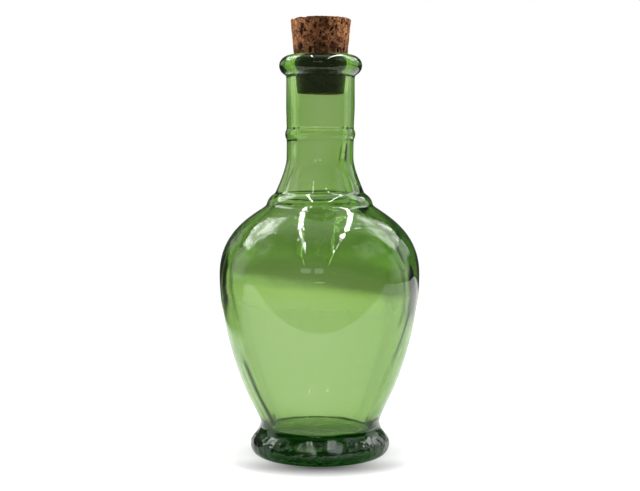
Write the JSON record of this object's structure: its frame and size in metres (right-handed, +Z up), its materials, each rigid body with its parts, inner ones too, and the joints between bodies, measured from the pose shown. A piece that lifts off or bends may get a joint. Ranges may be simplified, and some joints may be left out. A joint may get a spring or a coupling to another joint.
{
  "type": "glass bottle",
  "caption": "Corked green glass bottle with a full belly, a waist above a round foot, a sloping shoulder, a flared slim neck and a rolled lip.",
  "frame": {"origin": "middle of the foot, on the surface that the bottle stands on", "axes": "+Z up the bottle's axis towards the cork; -Y towards the viewer"},
  "size_m": [0.0954, 0.0954, 0.207],
  "materials": {
    "green_glass": "polished, clear, tinted through its thickness",
    "cork": "raw, matte, pitted"
  },
  "bodies": {
    "root": {"glass_bottle": "green_glass", "cork_stopper": "cork"}
  },
  "joints": []
}
